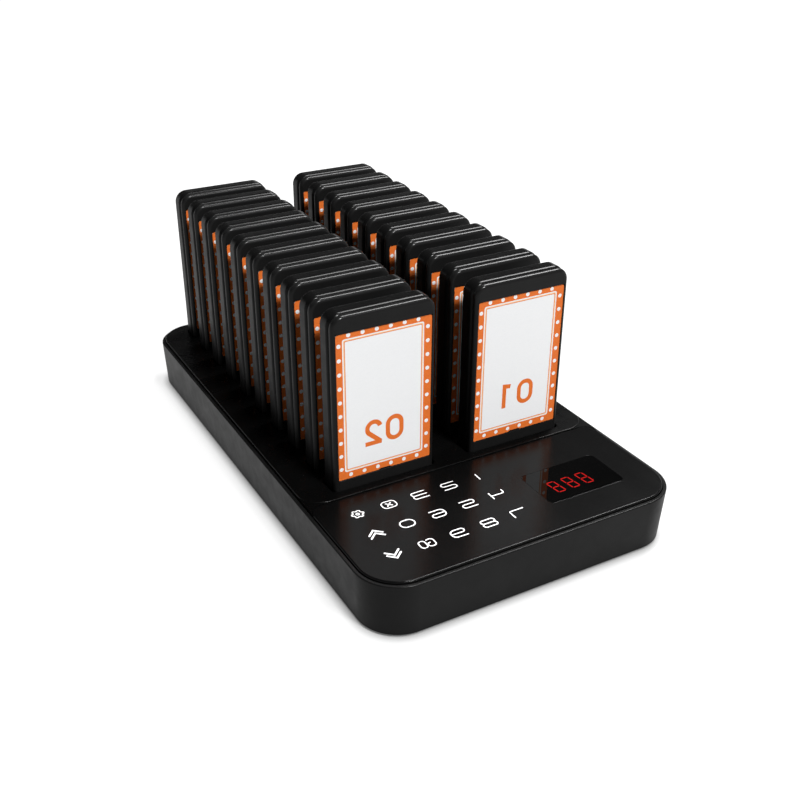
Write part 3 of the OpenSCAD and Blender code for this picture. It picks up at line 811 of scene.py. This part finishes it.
def soften(name, width_mm):
    """Rounds a CAD node's edges and smooths its curved walls, by modifiers alone."""
    obj = NODES[name]
    obj.data.shade_smooth()
    weld = obj.modifiers.new("weld", "WELD")
    weld.merge_threshold = 2e-6
    flat = obj.modifiers.new("flat", "DECIMATE")
    flat.decimate_type = "DISSOLVE"
    flat.angle_limit = math.radians(0.4)
    bevel = obj.modifiers.new("bevel", "BEVEL")
    bevel.width = width_mm * MM
    bevel.segments = 2
    bevel.limit_method = "ANGLE"
    bevel.angle_limit = math.radians(28)
    bevel.use_clamp_overlap = True
    weigh(obj)


# CAD nodes shown as they are: material, and width of the bevel or 0 where edges stay sharp.
for name, material, width in (
    ("led_display", BLOCK, 0.2), ("feet", RUBBER, 0.3), ("dc_inlet", SLEEVE, 0.15),
    ("control_board", BOARD, 0.0), ("charge_board_left", BOARD, 0.0),
    ("charge_board_right", BOARD, 0.0), ("slot_contacts", PLATED, 0.0),
    ("touch_springs", STEEL, 0.0), ("antenna", SLEEVE, 0.0), ("case_screws", STEEL, 0.2),
    ("pager_01_board", BOARD, 0.0), ("pager_01_battery", FOIL, 0.6),
    ("pager_01_vibration_motor", STEEL, 0.2), ("pager_01_contacts", PLATED, 0.0),
    ("pager_01_screws", STEEL, 0.15),
):
    dress(name, material)
    if width:
        soften(name, width)

# ---------------------------------------------------------------- keypad glyphs

KEY_X = [-61.4 + 15.85 * k for k in range(5)]
KEY_Y = [-88.85, -105.75, -122.65]
GX, GY = 3.47, 2.55
TURN = GY / 2
STROKE = 0.58
THIN = 0.92 * STROKE


def gear_rim():
    """A wheel whose radius steps in and out six times."""
    rim = []
    for k in range(72):
        a = 2 * math.pi * k / 72
        r = 2.4 + 0.34 * math.tanh(2.2 * math.cos(6 * a)) / math.tanh(2.2)
        rim.append((r * math.cos(a) * 1.05, r * math.sin(a)))
    return rim


def bend(side, level):
    """A half turn downwards at the left (-1) or right (1), in the lower (-1) or upper (1) half."""
    return arc(side * (GX - TURN), level * TURN, TURN, 90, 90 - 180 * side, 10)


def chevrons(sign):
    """Two nested arrow heads that point up (1) or down (-1)."""
    marks = []
    for drop in (0.0, 2.2):
        points = [(x, sign * (y - drop)) for x, y in ((-3.25, -0.45), (0.0, 2.6), (3.3, -0.35))]
        marks.append((points, OPEN, 0.8))
    return marks


# Strokes of each key's mark about its middle, as (points, closed, width): x to the right,
# y to the rear, as printed.
KEY_MARKS = {
    "gear": [(gear_rim(), CLOSED, 0.6), (disc(0, 0, 0.7), CLOSED, 0.6)],
    "erase": [(rounded(-GX, GX, -GY, GY, 1.9, 8), CLOSED, STROKE),
              ([(-1.2, -1.1), (1.2, 1.1)], OPEN, 0.62), ([(-1.2, 1.1), (1.2, -1.1)], OPEN, 0.62)],
    "up": chevrons(1),
    "down": chevrons(-1),
    "return": [
        (rounded(-GX, -0.35, -GY, GY, 1.6, 8), CLOSED, THIN),
        ([(0.75, GY - 0.25)] + arc(2.15, GY - 1.6, 1.6, 90, 0, 7)
         + arc(2.15, -GY + 1.6, 1.6, 0, -90, 7) + arc(1.6, -GY + 1.5, 1.5, 270, 180, 7)
         + [(0.35, -0.5), (0.9, 0.15), (1.6, 0.15)], OPEN, THIN),
    ],
    "0": [(rounded(-GX, GX, -GY, GY, 2.5, 10), CLOSED, STROKE)],
    "1": [([(0, -GY + 0.4), (0, GY - 0.3)], OPEN, STROKE)],
    "2": [([(GX, GY)] + bend(-1, 1) + [(GX - TURN, 0)] + bend(1, -1) + [(-GX, -GY)],
           OPEN, STROKE)],
    "3": [([(GX, GY)] + bend(-1, 1) + [(GX + 0.3, 0)], OPEN, STROKE),
          (bend(-1, -1) + [(GX + 0.3, -GY)], OPEN, STROKE)],
    "4": [([(-GX + 0.1, -GY + 0.2), (-GX + 0.1, GY)], OPEN, STROKE),
          ([(-GX, 0), (GX - 1.0, 0)] + arc(GX - 1.0, 1.0, 1.0, -90, 0, 6) + [(GX, GY)],
           OPEN, STROKE)],
    "5": [([(-GX, GY)] + bend(1, 1) + [(-GX + TURN, 0)] + bend(-1, -1) + [(GX, -GY)],
           OPEN, STROKE)],
    "6": [([(-GX, GY)] + arc(GX - 2.2, GY - 2.2, 2.2, 90, 0, 8)
           + arc(GX - 2.2, -GY + 2.2, 2.2, 0, -90, 8) + bend(-1, -1)[::-1] + [(GX, 0)],
           OPEN, STROKE)],
    "7": [([(-GX + 0.1, -GY + 0.2), (-GX + 0.1, GY - 0.8)]
           + arc(-GX + 0.9, GY - 0.8, 0.8, 180, 90, 6) + [(GX + 0.3, GY)], OPEN, STROKE)],
    "8": [(rounded(-GX, GX, low, low + GY, 1.25, 8), CLOSED, STROKE) for low in (-GY, 0)],
    "9": [([(GX, -GY)] + arc(-GX + 2.2, -GY + 2.2, 2.2, 270, 180, 8)
           + arc(-GX + 2.2, GY - 2.2, 2.2, 180, 90, 8) + bend(1, 1) + [(-GX, 0)],
           OPEN, STROKE)],
}
KEYS = [
    ["gear", "erase", "3", "2", "1"],
    ["up", "0", "6", "5", "4"],
    ["down", "return", "9", "8", "7"],
]
GLYPH_LIFT = 0.02


def flat_marks(name, shapes, z, thick, material):
    """Printed or lit marks: a thin closed layer whose top is at z + thick."""
    points, triangles = partition(shapes)
    work = bmesh.new()
    made = [work.verts.new(Vector((p.x, p.y, z + thick)) * MM) for p in points]
    for triangle, _ in triangles:
        work.faces.new([made[i] for i in triangle])
    bmesh.ops.recalc_face_normals(work, faces=work.faces)
    for g in bmesh.ops.extrude_face_region(work, geom=list(work.faces))["geom"]:
        if isinstance(g, bmesh.types.BMVert):
            g.co.z = z * MM
    loose = [v for v in work.verts if not v.link_faces]
    bmesh.ops.delete(work, geom=loose, context="VERTS")
    bmesh.ops.recalc_face_normals(work, faces=work.faces)
    obj = new_object(name, made_from(work, name), material, "base", smooth=False)


for row, kinds in enumerate(KEYS):
    for col, kind in enumerate(kinds):
        shapes = []
        for points, closed, width in KEY_MARKS[kind]:
            path = [(KEY_X[col] + x, KEY_Y[row] + y) for x, y in points]
            shapes += ribbon(path, width, closed)
        label = f"key_mark_{row + 1}_{col + 1}"
        flat_marks(label, shapes, PANEL_Z, GLYPH_LIFT, GLYPH)

# ---------------------------------------------------------------- display digits

SEG_X, SEG_Y = (29.35, 37.45, 45.55), -113.55
SEG_HALF_W, SEG_H, SEG_T, SEG_GAP, SEG_SLANT = 2.0, 4.3, 0.28, 0.22, -0.13
SEG_LIFT = 0.015


def segment_shapes(cx, cy):
    """Seven slanted bars with pointed ends."""
    w, h, t, gap = SEG_HALF_W, SEG_H, SEG_T, SEG_GAP
    bars = []
    for y in (h, 0, -h):
        bars.append([(-w + gap, y), (-w + gap + t, y + t), (w - gap - t, y + t), (w - gap, y),
                     (w - gap - t, y - t), (-w + gap + t, y - t)])
    for x in (-w, w):
        for y0, y1 in ((0, h), (-h, 0)):
            bars.append([(x, y0 + gap), (x + t, y0 + gap + t), (x + t, y1 - gap - t), (x, y1 - gap),
                         (x - t, y1 - gap - t), (x - t, y0 + gap + t)])
    return [[(cx + x + SEG_SLANT * y, cy + y) for x, y in bar] for bar in bars]


for k, x in enumerate(SEG_X):
    flat_marks(f"display_digit_{k + 1}", segment_shapes(x, SEG_Y), WINDOW_HIGH.z, SEG_LIFT,
               SEGMENT)

# ---------------------------------------------------------------- stage, light and camera

FLOOR_HALF = 9000


def stage_floor():
    """A floor that looks white where it is seen or mirrored, with a painted contact shade close to
    the object.
    """
    corners = [(x * FLOOR_HALF, y * FLOOR_HALF) for x, y in ((-1, -1), (1, -1), (1, 1), (-1, 1))]
    mesh = mesh_of("floor", rows(corners), [(0, 1, 2, 3)])
    floor = placed("studio_floor", mesh)
    s = Shade("studio_floor")
    s.colour(s.noise(300), grey(0.15), grey(0.155))
    s.set(Roughness=0.9, Specular_IOR_Level=0.0)
    path = s.add("ShaderNodeLightPath")
    seen = path.outputs["Is Camera Ray"]
    for kind in ("Is Glossy Ray", "Is Transmission Ray"):
        seen = s.math("MAXIMUM", seen, path.outputs[kind])
    # painted shade: the floor's glow is dimmed where ambient occlusion finds the object close by,
    # as a painted contact shadow
    painted_contact_shade = s.add("ShaderNodeAmbientOcclusion", samples=12)
    painted_contact_shade.inputs["Distance"].default_value = 0.007
    glow = s.add("ShaderNodeEmission")
    shade = s.spread(painted_contact_shade.outputs["AO"], 0.12, 0.84, 0.34, 0.84)
    s.link(s.math("MULTIPLY", shade, seen), glow.inputs["Strength"])
    both = s.add("ShaderNodeAddShader")
    s.link(s.bsdf.outputs[0], both.inputs[0])
    s.link(glow.outputs[0], both.inputs[1])
    s.link(both.outputs[0], s.output.inputs["Surface"])
    mesh.materials.append(s.material)


def aimed(name, light, at, target):
    """Places a light that shines from one point towards another, in metres."""
    obj = placed(name, light)
    obj.location = at
    obj.rotation_euler = (Vector(target) - Vector(at)).to_track_quat("-Z", "Y").to_euler()


def softbox(name, at, target, width, height, power):
    """Rectangular soft light."""
    light = bpy.data.lights.new(name, "AREA")
    light.shape = "RECTANGLE"
    light.size, light.size_y = width, height
    light.energy = power
    aimed(name, light, at, target)


def sun(name, azimuth, elevation, strength, spread):
    """Even soft light from one side, as from a far large screen.

    Angles are in degrees. Azimuth 0 is in front, 90 to the right.
    """
    light = bpy.data.lights.new(name, "SUN")
    light.energy = strength
    light.angle = math.radians(spread)
    a, e = math.radians(azimuth), math.radians(elevation)
    source = Vector((math.sin(a) * math.cos(e), -math.cos(a) * math.cos(e), math.sin(e)))
    aimed(name, light, (0, 0, 0), -source)


def world_light():
    """White behind the object, a bright horizon in its reflections, a dim even fill elsewhere."""
    world = bpy.data.worlds.new("studio")
    world.use_nodes = True
    nodes, links = world.node_tree.nodes, world.node_tree.links
    nodes.clear()

    def background(colour):
        node = nodes.new("ShaderNodeBackground")
        node.inputs["Color"].default_value = (*colour, 1)
        return node.outputs[0]

    def mixed(factor, first, second):
        node = nodes.new("ShaderNodeMixShader")
        for source, socket in zip((factor, first, second), node.inputs):
            links.new(source, socket)
        return node.outputs[0]

    place = nodes.new("ShaderNodeTexCoord")
    split = nodes.new("ShaderNodeSeparateXYZ")
    horizon = nodes.new("ShaderNodeValToRGB")
    bright, dark = horizon.color_ramp.elements
    bright.position, bright.color = 0.06, (0.98, 0.98, 0.98, 1)
    dark.position, dark.color = 0.26, (0.025, 0.025, 0.0255, 1)
    mirrored = nodes.new("ShaderNodeBackground")
    links.new(place.outputs["Generated"], split.inputs[0])
    links.new(split.outputs["Z"], horizon.inputs["Fac"])
    links.new(horizon.outputs["Color"], mirrored.inputs["Color"])
    path = nodes.new("ShaderNodeLightPath")
    fill, white = background((0.07, 0.07, 0.071)), background(grey(1.0))
    lit = mixed(path.outputs["Is Diffuse Ray"], mirrored.outputs[0], fill)
    seen = mixed(path.outputs["Is Camera Ray"], lit, white)
    links.new(seen, nodes.new("ShaderNodeOutputWorld").inputs["Surface"])
    bpy.context.scene.world = world


# Fitted to the photograph: angles in degrees, place in millimetres, focal length in pixels.
YAW, PITCH, ROLL = 29.329, 28.486, 0.244
CAMERA_PLACE = (-234.67, -435.22, 296.17)
FOCAL_PX, PICTURE_PX, SENSOR_MM = 1051.315, 800.0, 36.0


def make_camera():
    """The photograph's own view."""
    yaw, pitch, roll = (math.radians(a) for a in (YAW, PITCH, ROLL))
    level = math.cos(pitch)
    forward = Vector((math.sin(yaw) * level, math.cos(yaw) * level, -math.sin(pitch)))
    right = Vector((math.cos(yaw), -math.sin(yaw), 0.0))
    up = right.cross(forward)
    x = right * math.cos(roll) + up * math.sin(roll)
    y = up * math.cos(roll) - right * math.sin(roll)
    data = bpy.data.cameras.new("camera")
    data.sensor_width = SENSOR_MM
    data.lens = SENSOR_MM * FOCAL_PX / PICTURE_PX
    data.clip_start = 0.02
    data.clip_end = 60.0
    camera = placed("camera", data)
    turn = Matrix((x, y, -forward)).transposed()
    camera.matrix_world = Matrix.Translation(Vector(CAMERA_PLACE) * MM) @ turn.to_4x4()
    bpy.context.scene.camera = camera


stage_floor()
world_light()
sun("key", azimuth=14, elevation=53.5, strength=4.45, spread=10)
softbox("top_box", at=(0.59, 0.22, 1.05), target=(0.0, 0.0, 0.05), width=0.32, height=0.62,
        power=25.0)
make_camera()
bpy.context.scene.view_settings.view_transform = "Standard"
